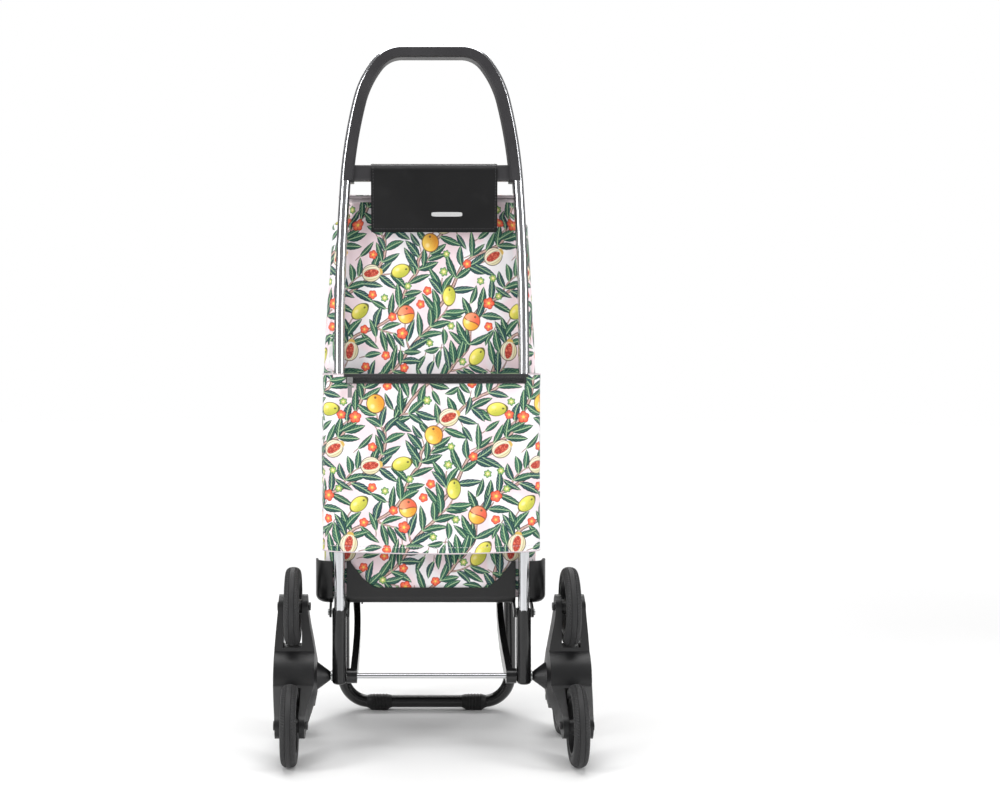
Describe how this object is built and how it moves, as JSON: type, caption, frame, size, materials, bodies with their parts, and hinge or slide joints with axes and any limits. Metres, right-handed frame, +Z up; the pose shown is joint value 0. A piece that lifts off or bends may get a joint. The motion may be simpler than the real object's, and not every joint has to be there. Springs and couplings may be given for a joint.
{
  "type": "shopping trolley on wheels",
  "caption": "Stair-climbing shopping trolley: printed fabric bag with lid and rear pocket on a folding aluminium frame with tri-wheel carriers, fold-up tray and stand.",
  "frame": {"origin": "centre of the footprint box at floor level", "axes": "+Z up, +Y forwards (the bag hangs in front of the uprights, the user stands behind at -Y), +X to the user's right"},
  "size_m": [0.47, 0.4106, 1.0553],
  "materials": {
    "aluminium_tube": "bright anodised oval tube",
    "grip_plastic": "fine moulded texture, dark grey",
    "black_plastic": "satin moulded, black",
    "tray_plastic": "satin moulded, black",
    "carrier_plastic": "satin moulded, charcoal",
    "rim_plastic": "satin moulded, charcoal",
    "tyre_rubber": "matt solid rubber",
    "foot_rubber": "matt ribbed",
    "chromed_steel": "bright chrome",
    "zinc_steel": "zinc plated",
    "black_steel": "gloss black powder coat",
    "nylon": "black nylon",
    "bag_fabric": "printed coated polyester, botanical fruit pattern on pale pink and white",
    "zip_tape": "black woven tape with coil teeth",
    "zip_metal": "nickel",
    "flap_vinyl": "black coated fabric, fine grain, stitched edges"
  },
  "bodies": {
    "chassis": {"frame_tube": "aluminium_tube", "handle_grip": "grip_plastic", "tube_sleeve_left": "black_plastic", "tube_sleeve_right": "black_plastic", "axle_rod": "chromed_steel", "axle_washers": "chromed_steel", "axle_end_caps": "black_plastic", "tray_pivot_pins": "zinc_steel", "bag_shell": "bag_fabric", "rear_pocket": "bag_fabric", "zip_tape": "zip_tape", "hanging_flap": "flap_vinyl"},
    "lid": {"bag_lid": "bag_fabric"},
    "tray": {"tray": "tray_plastic", "stand_pivot_pins": "zinc_steel"},
    "stand": {"stand_tube": "black_steel", "stand_end_plugs": "black_plastic", "stand_foot_left": "foot_rubber", "stand_foot_right": "foot_rubber"},
    "brace_left": {"brace_left": "black_plastic"},
    "brace_right": {"brace_right": "black_plastic"},
    "zip_slider": {"zip_slider": "zip_metal"},
    "zip_pull": {"zip_pull": "zip_metal"},
    "carrier_left": {"wheel_carrier_left": "carrier_plastic", "hub_bush_left": "nylon", "wheel_bolts_left": "zinc_steel", "wheel_nuts_left": "zinc_steel"},
    "wheel_left_top": {"tyre_left_top": "tyre_rubber", "rim_left_top": "rim_plastic"},
    "wheel_left_front": {"tyre_left_front": "tyre_rubber", "rim_left_front": "rim_plastic"},
    "wheel_left_rear": {"tyre_left_rear": "tyre_rubber", "rim_left_rear": "rim_plastic"},
    "carrier_right": {"wheel_carrier_right": "carrier_plastic", "hub_bush_right": "nylon", "wheel_bolts_right": "zinc_steel", "wheel_nuts_right": "zinc_steel"},
    "wheel_right_top": {"tyre_right_top": "tyre_rubber", "rim_right_top": "rim_plastic"},
    "wheel_right_front": {"tyre_right_front": "tyre_rubber", "rim_right_front": "rim_plastic"},
    "wheel_right_rear": {"tyre_right_rear": "tyre_rubber", "rim_right_rear": "rim_plastic"}
  },
  "joints": [
    {"name": "tray_fold", "type": "hinge", "parent": "chassis", "child": "tray", "pos_m": [0, -0.0564, 0.206], "axis": [1, 0, 0], "range_deg": [0, 68], "deforming": ["bag_shell"]},
    {"name": "stand_fold", "type": "hinge", "parent": "tray", "child": "stand", "pos_m": [0, 0.1886, 0.204], "axis": [1, 0, 0], "range_deg": [-68, 0]},
    {"name": "brace_left_swing", "type": "hinge", "parent": "chassis", "child": "brace_left", "pos_m": [0, -0.0564, 0.1105], "axis": [1, 0, 0], "range_deg": [0, 50.5]},
    {"name": "brace_right_swing", "type": "hinge", "parent": "chassis", "child": "brace_right", "pos_m": [0, -0.0564, 0.1105], "axis": [1, 0, 0], "range_deg": [0, 50.5]},
    {"name": "lid_hinge", "type": "hinge", "parent": "chassis", "child": "lid", "pos_m": [0, -0.0364, 0.8286], "axis": [1, 0, 0], "range_deg": [0, 80]},
    {"name": "zip_slide", "type": "slide", "parent": "chassis", "child": "zip_slider", "axis": [1, 0, 0], "range_m": [0, 0.25]},
    {"name": "zip_pull_swing", "type": "hinge", "parent": "zip_slider", "child": "zip_pull", "pos_m": [-0.122, -0.0831, 0.5521], "axis": [1, 0, 0], "range_deg": [-100, 0]},
    {"name": "carrier_left_spin", "type": "hinge", "parent": "chassis", "child": "carrier_left", "pos_m": [0, -0.0564, 0.1105], "axis": [1, 0, 0], "continuous": true},
    {"name": "wheel_left_top_spin", "type": "hinge", "parent": "carrier_left", "child": "wheel_left_top", "pos_m": [0, -0.0564, 0.2145], "axis": [1, 0, 0], "continuous": true},
    {"name": "wheel_left_front_spin", "type": "hinge", "parent": "carrier_left", "child": "wheel_left_front", "pos_m": [0, 0.03367, 0.0585], "axis": [1, 0, 0], "continuous": true},
    {"name": "wheel_left_rear_spin", "type": "hinge", "parent": "carrier_left", "child": "wheel_left_rear", "pos_m": [0, -0.14647, 0.0585], "axis": [1, 0, 0], "continuous": true},
    {"name": "carrier_right_spin", "type": "hinge", "parent": "chassis", "child": "carrier_right", "pos_m": [0, -0.0564, 0.1105], "axis": [1, 0, 0], "continuous": true},
    {"name": "wheel_right_top_spin", "type": "hinge", "parent": "carrier_right", "child": "wheel_right_top", "pos_m": [0, -0.0564, 0.2145], "axis": [1, 0, 0], "continuous": true},
    {"name": "wheel_right_front_spin", "type": "hinge", "parent": "carrier_right", "child": "wheel_right_front", "pos_m": [0, 0.03367, 0.0585], "axis": [1, 0, 0], "continuous": true},
    {"name": "wheel_right_rear_spin", "type": "hinge", "parent": "carrier_right", "child": "wheel_right_rear", "pos_m": [0, -0.14647, 0.0585], "axis": [1, 0, 0], "continuous": true}
  ],
  "couplings": [
    {"joint": "stand_fold", "follows": "tray_fold", "ratio": -1},
    {"joint": "brace_left_swing", "follows": "tray_fold", "ratio": 0.7426},
    {"joint": "brace_right_swing", "follows": "tray_fold", "ratio": 0.7426}
  ]
}
